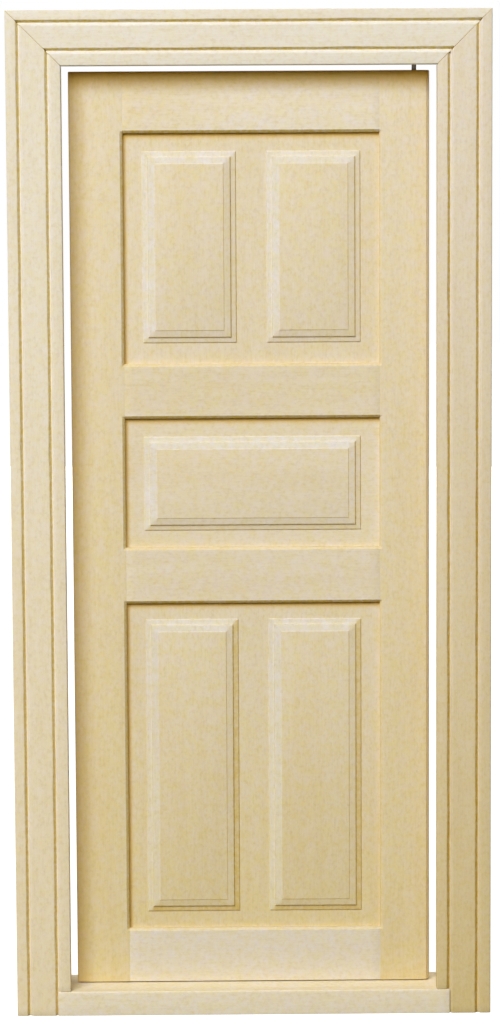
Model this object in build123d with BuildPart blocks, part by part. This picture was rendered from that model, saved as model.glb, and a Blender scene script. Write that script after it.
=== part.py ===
"""A miniature interior door in bare wood: a five-panel leaf hung on two pins in its cased frame.

Millimetres. +Z is up, the front faces -Y and the hinge side is at +X. The origin is at the middle
of the foot of the whole frame, so the frame stands on Z = 0.
"""

import os

from build123d import *

# Jamb box, the part of the frame that goes through the wall
box_width = 76.2
box_height = 185.7
box_depth = 9.5
jamb_thickness = 1.6
head_rabbet = 0.8
threshold_height = 4.75
threshold_rise = 0.45
threshold_nosing = 0.3

# Casing, the flat moulding round the front of the frame
casing_thickness = 2.4
casing_reach = 7.95
casing_overhang = 0.9
casing_outer_band = 2.5
head_outer_band = 2.35
head_inner_band = 7.65
casing_groove_width = 0.9
casing_groove_depth = 0.5
casing_ease = 0.2

# Leaf and the gaps round it
leaf_thickness = 4.0
leaf_side_gap = 2.0
leaf_top_gap = 1.75
leaf_bottom_gap = 0.2
latch_stile_width = 10.25
hinge_stile_width = 9.6
top_rail_height = 11.7
upper_rail_height = 10.5
lock_rail_height = 10.9
bottom_rail_height = 10.6
middle_panel_height = 25.0
lower_panel_height = 64.1

# Joints of the leaf
panel_ground = 1.6
groove_depth = 1.8
groove_end_gap = 0.2
sticking_width = 0.5
sticking_depth = 0.45

# Raised fields of the panels, with the ground (below, above) the fields of each
field_margin = 3.7
upper_end_margins = (4.1, 3.5)
middle_end_margins = (3.3, 3.6)
lower_end_margins = (3.25, 3.25)
field_spacing = 5.95
ledge_width = 1.05
ledge_rise = 0.3
shoulder_rise = 0.35
bevel_width = 0.95
bevel_rise = 0.3

# Hinge pins
pin_radius = 0.45
pin_length = 12.7
pin_point = 1.3
pin_point_radius = 0.12
pin_head_radius = 0.85
pin_head_thickness = 0.4
pin_inset = 2.9
pin_running_clearance = 0.06
pin_seat_clearance = 0.01
pin_head_clearance = 0.05
pin_end_gap = 0.3

# Worked out from the sizes above
overall_width = box_width + 2 * casing_reach
overall_height = box_height + casing_reach
overall_depth = casing_thickness + box_depth
casing_width = casing_reach + jamb_thickness + casing_overhang
casing_outer_x = overall_width / 2
casing_inner_x = casing_outer_x - casing_width
front_y = -overall_depth / 2
jamb_front_y = front_y + casing_thickness
back_y = overall_depth / 2
jamb_y = (jamb_front_y + back_y) / 2
box_x = box_width / 2
head_jamb_bottom = box_height - jamb_thickness
head_jamb_x = box_x - jamb_thickness + head_rabbet

opening_x = box_x - jamb_thickness
leaf_x = opening_x - leaf_side_gap
leaf_y = jamb_y
leaf_front_y = leaf_y - leaf_thickness / 2
threshold_top = threshold_height + threshold_rise
leaf_bottom = threshold_top + leaf_bottom_gap
leaf_top = head_jamb_bottom - leaf_top_gap
latch_edge_x = latch_stile_width - leaf_x
hinge_edge_x = leaf_x - hinge_stile_width
recess_x = (latch_edge_x + hinge_edge_x) / 2
recess_width = hinge_edge_x - latch_edge_x
tongue = groove_depth - groove_end_gap
bottom_rail_top = leaf_bottom + bottom_rail_height
lock_rail_bottom = bottom_rail_top + lower_panel_height
lock_rail_top = lock_rail_bottom + lock_rail_height
upper_rail_bottom = lock_rail_top + middle_panel_height
upper_rail_top = upper_rail_bottom + upper_rail_height
top_rail_bottom = leaf_top - top_rail_height
hinge_x = leaf_x - pin_inset
pin_hole_radius = pin_radius + pin_running_clearance
pin_seat_radius = pin_radius + pin_seat_clearance
pin_recess_radius = pin_head_radius + pin_running_clearance
pin_recess_depth = pin_head_thickness + 2 * pin_head_clearance
top_pin_tip = box_height - pin_head_clearance - pin_length
bottom_pin_tip = pin_head_clearance + pin_length


def keep(part: Part, name: str) -> None:
    """Labels a finished piece and writes it as its own file."""
    part.label = name
    export_step(part, f"parts/{name}.step")


def casing_front(grooves: tuple[float, float]) -> list[tuple[float, float]]:
    """Points across the moulding's face, as (distance from the outer edge, depth below the face)."""
    points = [(0, casing_ease), (casing_ease, 0)]
    for centre in grooves:
        points += [
            (centre - casing_groove_width / 2, 0),
            (centre, casing_groove_depth),
            (centre + casing_groove_width / 2, 0),
        ]
    return points + [(casing_width - casing_ease, 0), (casing_width, casing_ease)]


def casing_leg(side: int) -> Part:
    """A leg of the casing: side is -1 on the latch side and 1 on the hinge side."""
    face = casing_front((casing_outer_band, casing_reach))
    outline = [(side * (casing_outer_x - across), front_y + depth) for across, depth in face]
    outline += [(side * casing_inner_x, jamb_front_y), (side * casing_outer_x, jamb_front_y)]
    mitre = Plane(origin=(side * casing_outer_x, 0, overall_height), z_dir=(-side, 0, 1))
    with BuildPart() as leg:
        with BuildSketch():
            with BuildLine():
                Polyline(outline, close=True)
            make_face()
        extrude(amount=overall_height)
        split(bisect_by=mitre, keep=Keep.BOTTOM)
        with BuildSketch():
            with Locations((0, front_y)):
                Rectangle(box_width, overall_depth)
        extrude(amount=threshold_height, mode=Mode.SUBTRACT)
    return leg.part


def casing_top() -> Part:
    """The head of the casing, mitred at both ends to meet the legs."""
    face = casing_front((head_outer_band, head_inner_band))
    outline = [(front_y + depth, overall_height - across) for across, depth in face]
    outline += [
        (jamb_front_y, overall_height - casing_width),
        (jamb_front_y, overall_height),
    ]
    with BuildPart() as head:
        with BuildSketch(Plane.YZ):
            with BuildLine():
                Polyline(outline, close=True)
            make_face()
        extrude(amount=casing_outer_x, both=True)
        for side in (-1, 1):
            mitre = Plane(origin=(side * casing_outer_x, 0, overall_height), z_dir=(-side, 0, 1))
            split(bisect_by=mitre, keep=Keep.TOP)
    return head.part


def threshold_outline() -> list[tuple[float, float]]:
    """Corners of the threshold's section, as (y, z): level under the casing, then up to the leaf."""
    return [
        (front_y, 0),
        (back_y, 0),
        (back_y, threshold_top),
        (leaf_front_y, threshold_top),
        (jamb_front_y, threshold_height),
        (front_y, threshold_height),
    ]


def side_jamb(side: int) -> Part:
    """A side of the jamb box, standing on the threshold, rabbeted at the top for the head jamb."""
    with BuildPart() as jamb:
        with BuildSketch(Plane.XY.offset(threshold_height)):
            with Locations((side * (box_x - jamb_thickness / 2), jamb_y)):
                Rectangle(jamb_thickness, box_depth)
        extrude(amount=box_height - threshold_height)
        with BuildSketch(Plane.XY.offset(head_jamb_bottom)):
            with Locations((0, jamb_y)):
                Rectangle(2 * head_jamb_x, box_depth)
        extrude(amount=jamb_thickness, mode=Mode.SUBTRACT)
        with BuildSketch(Plane.YZ):
            with BuildLine():
                Polyline(threshold_outline(), close=True)
            make_face()
        extrude(amount=box_x, both=True, mode=Mode.SUBTRACT)
    return jamb.part


def head_board() -> Part:
    """The top of the jamb box, let into the side jambs and bored for the upper pin."""
    with BuildPart() as board:
        with BuildSketch(Plane.XY.offset(head_jamb_bottom)):
            with Locations((0, jamb_y)):
                Rectangle(2 * head_jamb_x, box_depth)
        extrude(amount=jamb_thickness)
        with Locations(Plane(origin=(hinge_x, leaf_y, box_height), z_dir=(0, 0, 1))):
            CounterBoreHole(pin_hole_radius, pin_recess_radius, pin_recess_depth)
    return board.part


def threshold_board() -> Part:
    """The threshold under the leaf, flush with the casing's face and bored for the lower pin."""
    with BuildPart() as board:
        with BuildSketch(Plane.YZ):
            with BuildLine():
                Polyline(threshold_outline(), close=True)
            make_face()
        extrude(amount=box_x, both=True)
        nosing = board.edges().filter_by(Axis.X).group_by(Axis.Y)[0].sort_by(Axis.Z)[-1]
        fillet(nosing, radius=threshold_nosing)
        with Locations(Plane(origin=(hinge_x, leaf_y, 0), z_dir=(0, 0, -1))):
            CounterBoreHole(pin_hole_radius, pin_recess_radius, pin_recess_depth)
    return board.part


def hinge_pin(head_z: float, way: int) -> Part:
    """A headed pin whose head ends at head_z and whose point looks along way, 1 up or -1 down."""
    half_profile = [
        (0, 0),
        (pin_head_radius, 0),
        (pin_head_radius, pin_head_thickness),
        (pin_radius, pin_head_thickness),
        (pin_radius, pin_length - pin_point),
        (pin_point_radius, pin_length),
        (0, pin_length),
    ]
    outline = [(hinge_x + radius, head_z + way * along) for radius, along in half_profile]
    with BuildPart() as pin:
        with BuildSketch(Plane.XZ.offset(-leaf_y)):
            with BuildLine():
                Polyline(outline, close=True)
            make_face()
        revolve(axis=Axis((hinge_x, leaf_y, 0), (0, 0, 1)))
    return pin.part


def sticking() -> Part:
    """Wedges to cut from stiles and rails, which bevel the arrises round each panel on both faces."""
    face_y = leaf_thickness / 2 - leaf_y
    openings = (
        (bottom_rail_top, lock_rail_bottom),
        (lock_rail_top, upper_rail_bottom),
        (upper_rail_top, top_rail_bottom),
    )
    with BuildPart() as wedges:
        for bottom, top in openings:
            for spread, level in ((0, face_y - sticking_depth), (sticking_width, face_y)):
                with BuildSketch(Plane.XZ.offset(level)):
                    with Locations((recess_x, (bottom + top) / 2)):
                        Rectangle(recess_width + 2 * spread, top - bottom + 2 * spread)
            loft()
        mirror(about=Plane.XZ.offset(-leaf_y))
    return wedges.part


def stile(left_x: float, right_x: float, inner_x: float, inward: int, bevels: Part) -> Part:
    """An upright of the leaf, grooved down its whole inner edge for rails and panels."""
    with BuildPart() as upright:
        with BuildSketch(Plane.XY.offset(leaf_bottom)):
            with Locations(((left_x + right_x) / 2, leaf_y)):
                Rectangle(right_x - left_x, leaf_thickness)
            with Locations((inner_x - inward * groove_depth / 2, leaf_y)):
                Rectangle(groove_depth, panel_ground, mode=Mode.SUBTRACT)
        extrude(amount=leaf_top - leaf_bottom)
        add(bevels, mode=Mode.SUBTRACT)
    return upright.part


def bored_stile(plain: Part) -> Part:
    """The hinge stile, with a blind hole at each end that grips a pin."""
    with BuildPart() as upright:
        add(plain)
        with Locations(Plane(origin=(hinge_x, leaf_y, leaf_top), z_dir=(0, 0, 1))):
            Hole(pin_seat_radius, depth=leaf_top - top_pin_tip + pin_end_gap)
        with Locations(Plane(origin=(hinge_x, leaf_y, leaf_bottom), z_dir=(0, 0, -1))):
            Hole(pin_seat_radius, depth=bottom_pin_tip + pin_end_gap - leaf_bottom)
    return upright.part


def rail(bottom: float, top: float, grooves: tuple[int, ...], bevels: Part) -> Part:
    """A cross piece of the leaf with a stub tenon at each end; grooves are -1 below and 1 above."""
    middle = (bottom + top) / 2
    with BuildPart() as cross:
        with BuildSketch(Plane.XY.offset(bottom)):
            with Locations((recess_x, leaf_y)):
                Rectangle(recess_width, leaf_thickness)
                Rectangle(recess_width + 2 * tongue, panel_ground)
        extrude(amount=top - bottom)
        for way in grooves:
            edge = middle + way * (top - bottom) / 2
            with BuildSketch(Plane.XY.offset(edge)):
                with Locations((recess_x, leaf_y)):
                    Rectangle(recess_width + 2 * groove_depth, panel_ground)
            extrude(amount=-way * groove_depth, mode=Mode.SUBTRACT)
        add(bevels, mode=Mode.SUBTRACT)
    return cross.part


def raised_panel(
    bottom: float, top: float, fields: int, end_margins: tuple[float, float]
) -> Part:
    """A panel tongued into its frame, with raised fields side by side on both faces.

    Each field climbs from the ground by a ledge, a square shoulder and a flat bevel.
    """
    height = top - bottom
    middle = (bottom + top) / 2
    below, above = end_margins
    field_width = (recess_width - 2 * field_margin - (fields - 1) * field_spacing) / fields
    field_height = height - below - above
    field_middle = middle + (below - above) / 2
    ground_y = panel_ground / 2 - leaf_y
    shoulder_y = ground_y + ledge_rise + shoulder_rise
    bevel_ends = ((ledge_width, shoulder_y), (ledge_width + bevel_width, shoulder_y + bevel_rise))
    columns = GridLocations(field_width + field_spacing, height, fields, 1).locations
    places = [Location((recess_x, field_middle)) * column for column in columns]
    with BuildPart() as panel:
        with BuildSketch(Plane.XZ.offset(-leaf_y)):
            with Locations((recess_x, middle)):
                Rectangle(recess_width + 2 * tongue, height + 2 * tongue)
        extrude(amount=panel_ground / 2)
        for place in places:
            with BuildSketch(Plane.XZ.offset(ground_y)):
                with Locations(place):
                    Rectangle(field_width, field_height)
            extrude(amount=ledge_rise)
            with BuildSketch(Plane.XZ.offset(ground_y)):
                with Locations(place):
                    Rectangle(field_width - 2 * ledge_width, field_height - 2 * ledge_width)
            extrude(amount=ledge_rise + shoulder_rise)
            for inset, level in bevel_ends:
                with BuildSketch(Plane.XZ.offset(level)):
                    with Locations(place):
                        Rectangle(field_width - 2 * inset, field_height - 2 * inset)
            loft()
        mirror(about=Plane.XZ.offset(-leaf_y))
    return panel.part


os.makedirs("parts", exist_ok=True)

# Frame
keep(casing_leg(-1), "casing_left_leg")
keep(casing_leg(1), "casing_right_leg")
keep(casing_top(), "casing_head")
keep(side_jamb(-1), "jamb_left")
keep(side_jamb(1), "jamb_right")
keep(head_board(), "head_jamb")
keep(threshold_board(), "threshold")

# Leaf
bevels = sticking()
keep(stile(-leaf_x, latch_edge_x, latch_edge_x, 1, bevels), "latch_stile")
keep(bored_stile(stile(hinge_edge_x, leaf_x, hinge_edge_x, -1, bevels)), "hinge_stile")
keep(rail(top_rail_bottom, leaf_top, (-1,), bevels), "top_rail")
keep(rail(upper_rail_bottom, upper_rail_top, (-1, 1), bevels), "upper_rail")
keep(rail(lock_rail_bottom, lock_rail_top, (-1, 1), bevels), "lock_rail")
keep(rail(leaf_bottom, bottom_rail_top, (1,), bevels), "bottom_rail")
keep(raised_panel(upper_rail_top, top_rail_bottom, 2, upper_end_margins), "upper_panel")
keep(raised_panel(lock_rail_top, upper_rail_bottom, 1, middle_end_margins), "middle_panel")
keep(raised_panel(bottom_rail_top, lock_rail_bottom, 2, lower_end_margins), "lower_panel")
keep(hinge_pin(box_height - pin_head_clearance, -1), "top_hinge_pin")
keep(hinge_pin(pin_head_clearance, 1), "bottom_hinge_pin")
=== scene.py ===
"""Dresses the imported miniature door: bare basswood boards, two wire pins and the studio round them.

Sizes in the classes are millimetres, as in the part's source, and meshes are written in metres.
"""

import logging
import math
from dataclasses import dataclass, field
from enum import Enum
from typing import Any

import bpy
import numpy as np
from mathutils import Matrix, Vector
from numpy.typing import NDArray


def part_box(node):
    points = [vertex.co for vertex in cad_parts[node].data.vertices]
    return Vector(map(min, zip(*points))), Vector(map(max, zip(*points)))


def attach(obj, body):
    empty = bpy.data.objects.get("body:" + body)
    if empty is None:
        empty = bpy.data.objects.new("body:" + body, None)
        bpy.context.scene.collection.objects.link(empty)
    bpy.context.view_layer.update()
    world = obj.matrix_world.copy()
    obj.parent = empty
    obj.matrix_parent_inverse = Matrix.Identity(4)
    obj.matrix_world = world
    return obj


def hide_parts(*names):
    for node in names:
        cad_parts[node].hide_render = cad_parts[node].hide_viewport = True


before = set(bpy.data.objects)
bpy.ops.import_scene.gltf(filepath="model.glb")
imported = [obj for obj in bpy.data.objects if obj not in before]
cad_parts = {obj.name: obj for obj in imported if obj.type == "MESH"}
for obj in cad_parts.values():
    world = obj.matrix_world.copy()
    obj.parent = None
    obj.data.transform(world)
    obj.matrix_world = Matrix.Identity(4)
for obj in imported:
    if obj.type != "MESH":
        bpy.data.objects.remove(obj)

Array = NDArray[np.float64]
Colour = Place = tuple[float, float, float]
METRE = 0.001  # metres in a millimetre
SINES, SHORTER, WEAKER = 5, 1.7, 1.4  # how a drift is put together
CORNER_SHARE = 0.49  # the most of an edge that the rounding of one corner takes
SHIFTS = (7.31, 3.77, 5.19)  # how far a seed moves the wood's figure along each axis
WHITE: Colour = (1.0, 1.0, 1.0)
LOG = logging.getLogger("door")


class Run(Enum):
    """The way that a board's length and grain run."""

    UPRIGHT = "upright"
    LYING = "lying"


class Tone(Enum):
    """Shades that bare basswood comes in, as linear colours."""

    BLANCHED = (0.785, 0.725, 0.61)
    PALE = (0.77, 0.69, 0.58)
    SANDED = (0.835, 0.75, 0.61)
    BUTTER = (0.82, 0.70, 0.48)
    ROSY = (0.77, 0.675, 0.53)
    CREAM = (0.755, 0.655, 0.495)
    STRAW = (0.745, 0.62, 0.375)
    HONEY = (0.69, 0.55, 0.28)


class Figure(Enum):
    """Marks in basswood: cycles in a millimetre across and along the grain, detail, roughness."""

    SWAY = (0.12, 0.02, 1.0, 0.5)
    BANDS = (0.55, 0.025, 2.0, 0.55)
    FIBRES = (4.2, 0.3, 3.0, 0.6)
    FLECKS = (1.7, 1.3, 2.0, 0.6)
    MOTTLE = (0.6, 0.6, 3.0, 0.6)
    BLUSH = (0.8, 0.9, 2.0, 0.5)
    TUFTS = (1.2, 1.2, 3.0, 0.6)
    RINGS = (1.1, 1.1, 2.0, 0.5)


class Tint(Enum):
    """What the wood's colour is multiplied by where each mark is at its strongest."""

    BANDS = (0.98, 0.965, 0.94)
    CLOUDS = (0.985, 0.965, 0.72)
    BLUSH = (0.99, 0.965, 0.96)
    FIBRES = (0.965, 0.95, 0.90)
    FLECKS = (0.93, 0.91, 0.84)
    # Painted shade: the shadows that the casing casts on the leaf, and that the rails and stiles cast
    # on the panels' ground.
    PAINTED_SHADE = (0.95, 0.70, 0.16)
    # Partly the paleness of a fresh cut, and partly painted highlight on lit bevels, lit groove walls
    # and bands beside the bevels.
    FRESH_CUT_AND_HIGHLIGHT = (0.99, 1.06, 1.28)
    # Torn fibres along grooves, steps and mitres, with painted shade where the walls and steps face
    # away from the lamp.
    TORN = (0.86, 0.70, 0.18)
    END_GRAIN = (0.86, 0.80, 0.68)


@dataclass(frozen=True)
class Room:
    """The room that a CAD node fills at rest, in millimetres."""

    low: Array
    high: Array

    @classmethod
    def of(cls, node: str) -> "Room":
        """Reads a node's room from the frame."""
        low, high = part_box(node)
        return cls(np.array(low) / METRE, np.array(high) / METRE)


def drift(along: Array, seed: int, wavelength: float) -> Array:
    """Smooth wandering values, mostly from -1 to 1.

    It is half the sum of a few sines. Each is shorter than the one before by one factor and weaker
    by another, and each starts at a random phase.

    Args:
        along: Places along the piece, in millimetres.
        seed: Fixes the phases.
        wavelength: Length of the slowest sine, in millimetres.

    Returns:
        One value for each place.
    """
    order = np.arange(SINES)
    phases = np.random.default_rng(seed).uniform(0, 2 * np.pi, SINES)
    rates = 2 * np.pi / wavelength * SHORTER**order
    weights = WEAKER**-order / 2.0
    return np.sin(along[..., None] * rates + phases) @ weights


def eased(corners: Array, radii: Array, steps: int = 3) -> Array:
    """Rounds the corners of a closed outline, or of a stack of them.

    A corner C becomes the curve (1-u)^2 A + 2u(1-u) C + u^2 B for u from 0 to 1, where A and B lie
    a radius away from C towards the corner before it and the corner after it.

    Args:
        corners: Corners in order round the outline, as (..., corners, 2).
        radii: A radius for each corner.
        steps: Straight pieces in each rounded corner.

    Returns:
        The outline's points, as (..., corners * (steps + 1), 2).
    """
    ends = []
    for way in (1, -1):
        side = np.roll(corners, way, axis=-2) - corners
        length = np.linalg.norm(side, axis=-1, keepdims=True)
        ends.append(corners + side * np.minimum(radii[:, None] / length, CORNER_SHARE))
    a, c, b = (x[..., None, :] for x in (ends[0], corners, ends[1]))
    u = np.linspace(0, 1, steps + 1)[:, None]
    curve = (1 - u) ** 2 * a + 2 * u * (1 - u) * c + u**2 * b
    return curve.reshape(*corners.shape[:-2], -1, 2)


def placed(name: str, data: bpy.types.ID) -> bpy.types.Object:
    """Puts a mesh, a lamp or a camera into the scene, at the origin.

    Args:
        name: The object's name.
        data: What it holds.

    Returns:
        The new object.
    """
    made = bpy.data.objects.new(name, data)
    bpy.context.scene.collection.objects.link(made)
    return made


@dataclass
class Shape:
    """A closed surface in millimetres, with the marks that its finish reads.

    Attributes:
        points: The vertices, as (vertices, 3).
        faces: Corner indices of each face, in order seen from outside.
        fuzz_and_shading: For each vertex, above 0 how torn the fibres are there, with painted shade,
            and below 0 how freshly cut, with painted highlight.
        end: For each face, 1 where it cuts across the fibres.
    """

    points: Array
    faces: list[tuple[int, ...]]
    fuzz_and_shading: Array
    end: Array

    def joined(self, other: "Shape") -> "Shape":
        """Puts another closed surface into the same piece.

        Args:
            other: That surface.

        Returns:
            Both together.
        """
        shifted = [tuple(corner + len(self.points) for corner in face) for face in other.faces]
        return Shape(
            np.vstack([self.points, other.points]),
            self.faces + shifted,
            np.concatenate([self.fuzz_and_shading, other.fuzz_and_shading]),
            np.concatenate([self.end, other.end]),
        )

    def piece(self, name: str, sharp_over: float = 30.0) -> bpy.types.Object:
        """Makes the Blender object, at the origin, with its place in its mesh.

        Args:
            name: The object's name.
            sharp_over: Edges that turn by more degrees than this are shaded sharp.

        Returns:
            The new object, linked to the scene.
        """
        mesh = bpy.data.meshes.new(name)
        mesh.from_pydata((self.points * METRE).tolist(), [], self.faces)
        marks = mesh.attributes.new("fuzz_and_shading", "FLOAT", "POINT")
        marks.data.foreach_set("value", self.fuzz_and_shading.astype(np.float32))
        ends = mesh.attributes.new("end_grain", "FLOAT", "FACE")
        ends.data.foreach_set("value", self.end.astype(np.float32))
        mesh.update()
        mesh.set_sharp_from_angle(angle=math.radians(sharp_over))
        return placed(name, mesh)


@dataclass
class Board:
    """A section carried along a straight run, closed at both ends.

    At share t of the run, ring point r lies at start[r] + t (finish[r] - start[r]) along it, so
    slanting starts or finishes give mitres. A ring point's level says which step of a stepped end
    it is on.

    Attributes:
        run: The way that the length runs. The section is (x, y) of an upright board, or (y, z) of a
            lying one.
        section: The ring, as (points, 2), or (stations, points, 2) where it changes along the run.
        start: For each ring point, where the board starts along the run.
        finish: For each ring point, where it ends.
        shares: The stations, from 0 to 1.
        ease: How far the arrises at both ends are sanded off.
        fuzz_and_shading: For each ring point, how torn the fibres are with painted shade (above 0),
            or freshly cut with painted highlight (below 0); or that at each station.
        start_level: For each ring point, 0 or 1 on a stepped start.
        finish_level: For each ring point, 0 or 1 on a stepped finish.
        wander: How far the rows that have fuzz stray.
        wavelength: Length of the slowest wave in which they stray.
        setback: How far in they lie on average, in wanders.
        seed: Fixes how they stray.
        end_fuzz: How torn the fibres are at both ends.
        rounding: Where the middle of a rounded end arris lies, in eases.
    """

    run: Run
    section: Array
    start: Array
    finish: Array
    shares: Array
    ease: float = 0.12
    fuzz_and_shading: Array | None = None
    start_level: Array | None = None
    finish_level: Array | None = None
    wander: float = 0.0
    wavelength: float = 23.0
    setback: float = 1.3
    seed: int = 1
    end_fuzz: float = 0.0
    rounding: float = 0.3

    def shape(self) -> Shape:
        """Works out the surface.

        Each end has two stations more. They stand 0 and r eases from the end and are drawn in by 1
        and r eases along the ring's normals, where r is the rounding, and the given stations start
        one ease from the end. A row that has fuzz moves outwards by the wander times
        (drift - setback).

        Returns:
            The closed surface.
        """
        count = self.section.shape[-2]
        inner, part = self.shares, self.rounding
        stations = np.concatenate([[0.0, 0.0], inner, [1.0, 1.0]])
        push = self.ease * np.concatenate([[0.0, part], 1 - 2 * inner, [-part, 0.0]])
        drawn = self.ease * np.concatenate([[1.0, part], 0 * inner, [part, 1.0]])
        rings = np.broadcast_to(self.section, (len(inner), count, 2))
        rings = np.concatenate([rings[[0, 0]], rings, rings[[-1, -1]]])
        along = self.start + stations[:, None] * (self.finish - self.start) + push[:, None]
        tangent = np.roll(rings, -1, axis=1) - np.roll(rings, 1, axis=1)
        tangent /= np.linalg.norm(tangent, axis=-1, keepdims=True)
        turn = np.roll(rings, -1, axis=1)
        area = np.sum(rings[..., 0] * turn[..., 1] - turn[..., 0] * rings[..., 1], axis=1)
        outward = np.stack([tangent[..., 1], -tangent[..., 0]], -1) * np.sign(area)[:, None, None]
        rings = rings - outward * drawn[:, None, None]
        fuzz_and_shading = np.broadcast_to(0.0 if self.fuzz_and_shading is None else self.fuzz_and_shading, (len(inner), count))
        fuzz_and_shading = np.concatenate([fuzz_and_shading[[0, 0]], fuzz_and_shading, fuzz_and_shading[[-1, -1]]])
        strayed = drift(along, self.seed, self.wavelength) - self.setback
        rings = rings + outward * (self.wander * strayed * (fuzz_and_shading != 0))[..., None]
        fuzz_and_shading[[0, 1, -2, -1]] = np.maximum(fuzz_and_shading[[0, 1, -2, -1]], self.end_fuzz)
        across = [rings[..., 0], rings[..., 1]]
        points = np.stack([*across, along] if self.run is Run.UPRIGHT else [along, *across], -1)
        ids = np.arange(points.shape[0] * count).reshape(-1, count)
        forward = 1 if area[0] > 0 else -1
        ids = ids[:, ::forward]
        ahead = np.roll(ids, -1, axis=1)
        quads = np.stack([ids[:-1], ahead[:-1], ahead[1:], ids[1:]], -1).reshape(-1, 4)
        low, high = (
            (np.zeros(count, int) if level is None else level)[::forward]
            for level in (self.start_level, self.finish_level)
        )
        caps = self.cap(ids[0][::-1], low[::-1]) + self.cap(ids[-1], high)
        return Shape(
            points.reshape(-1, 3),
            [tuple(quad) for quad in quads.tolist()] + caps,
            fuzz_and_shading.ravel(),
            np.concatenate([np.zeros(len(quads)), np.ones(len(caps))]),
        )

    @staticmethod
    def cap(ring: NDArray[np.int64], level: NDArray[np.int64]) -> list[tuple[int, ...]]:
        """Closes one end, in one face, or in two and a riser where the end is stepped.

        Args:
            ring: Vertex numbers round the end, in order seen from outside.
            level: The step, 0 or 1, that each of them is on.

        Returns:
            The faces that close the end.
        """
        if level.min() == level.max():
            return [tuple(ring.tolist())]
        first = int(np.flatnonzero((level == 0) & (np.roll(level, 1) == 1))[0])
        ring, level = np.roll(ring, -first), np.roll(level, -first)
        low, high = ring[level == 0].tolist(), ring[level == 1].tolist()
        return [tuple(low), tuple(high), (low[-1], high[0], high[-1], low[0])]


def spaced(length: float, step: float = 2.0) -> Array:
    """Even shares of a run that are about a step apart, both ends included."""
    return np.linspace(0, 1, max(int(length / step), 1) + 1)


def lying(
    ring: Array, start: float, finish: float, ease: float, fuzz_and_shading: Array | None = None
) -> Shape:
    """A lying board with square ends.

    Args:
        ring: Its section, as (points, 2).
        start: Where it starts along x.
        finish: Where it ends.
        ease: How far the arrises at its ends are sanded off.
        fuzz_and_shading: For each ring point, how torn the fibres are, with painted shade above 0 and
            painted highlight below 0.

    Returns:
        The surface.
    """
    ends = [np.full(len(ring), x) for x in (start, finish)]
    return Board(Run.LYING, ring, *ends, spaced(finish - start), ease, fuzz_and_shading).shape()


@dataclass(frozen=True)
class Wire:
    """One output of a material's nodes. Arithmetic on it adds Math nodes."""

    desk: "NodeDesk"
    socket: bpy.types.NodeSocket

    def maths(self, operation: str, first: "Wire | float", second: "Wire | float") -> "Wire":
        """Adds one Math node on two values."""
        return self.desk.node("ShaderNodeMath", {"operation": operation}, {0: first, 1: second})

    def __add__(self, other: "Wire | float") -> "Wire":
        """Sum of two values."""
        return self.maths("ADD", self, other)

    def __sub__(self, other: "Wire | float") -> "Wire":
        """Difference of two values."""
        return self.maths("SUBTRACT", self, other)

    def __rsub__(self, other: float) -> "Wire":
        """A number less this."""
        return self.maths("SUBTRACT", other, self)

    def __mul__(self, other: "Wire | float") -> "Wire":
        """Product of two values."""
        return self.maths("MULTIPLY", self, other)

    __radd__ = __add__
    __rmul__ = __mul__

    def ramp(self, low: float, high: float, smooth: bool = True) -> "Wire":
        """Rises from 0 at one value to 1 at another, and stays there.

        Args:
            low: The value that gives 0.
            high: The value that gives 1.
            smooth: Whether it starts and ends gently.

        Returns:
            The share between them.
        """
        settings = {"interpolation_type": "SMOOTHSTEP" if smooth else "LINEAR"}
        sockets = {0: self, 1: low, 2: high, 3: 0.0, 4: 1.0}
        return self.desk.node("ShaderNodeMapRange", settings, sockets)


class NodeDesk:
    """Lays out the nodes of one material or world."""

    def __init__(self, tree: bpy.types.NodeTree) -> None:
        """Starts with an empty tree."""
        tree.nodes.clear()
        self.tree = tree

    def node(
        self,
        kind: str,
        settings: dict[str, Any] | None = None,
        sockets: dict[int | str, Any] | None = None,
        output: int | str = 0,
    ) -> Wire:
        """Adds a node.

        Args:
            kind: Blender's name of the node's type.
            settings: Its properties, set first.
            sockets: A value or a Wire for each input, by name or number.
            output: The output to go on from.

        Returns:
            That output.
        """
        made = self.tree.nodes.new(kind)
        for key, value in (settings or {}).items():
            setattr(made, key, value)
        for key, value in (sockets or {}).items():
            if isinstance(value, Wire):
                self.tree.links.new(value.socket, made.inputs[key])
            else:
                made.inputs[key].default_value = value
        return Wire(self, made.outputs[output] if made.outputs else made.inputs[0])

    def blend(self, share: Wire | float, first: Any, second: Any) -> Wire:
        """Mixes two colours: share 0 gives the first and 1 the second."""
        first, second = (x if isinstance(x, Wire) else (*x, 1.0) for x in (first, second))
        return self.node("ShaderNodeMix", {"data_type": "RGBA"}, {0: share, 6: first, 7: second}, 2)

    def tinted(self, share: Wire | float, colour: Wire, tint: Colour) -> Wire:
        """Multiplies a colour by a tint, as far as the share says."""
        settings = {"data_type": "RGBA", "blend_type": "MULTIPLY"}
        return self.node("ShaderNodeMix", settings, {0: share, 6: colour, 7: (*tint, 1.0)}, 2)

    def noise(self, place: Wire, detail: float, roughness: float = 0.5) -> Wire:
        """Smooth noise around 0.5 at a place."""
        sockets = {"Vector": place, "Scale": 1.0, "Detail": detail, "Roughness": roughness}
        return self.node("ShaderNodeTexNoise", {}, sockets)

    def spot(self) -> Wire:
        """The place on the piece, in metres."""
        return self.node("ShaderNodeTexCoord", {}, {}, "Object")

    def along(self, spot: Wire, axis: int) -> Wire:
        """How far along x, y or z a place is, for axis 0, 1 or 2."""
        return self.node("ShaderNodeSeparateXYZ", {}, {0: spot}, axis)

    def mark(self, name: str) -> Wire:
        """A mark that the piece's mesh carries, or 0 where it has none."""
        return self.node("ShaderNodeAttribute", {"attribute_name": name}, {}, "Fac")


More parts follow.
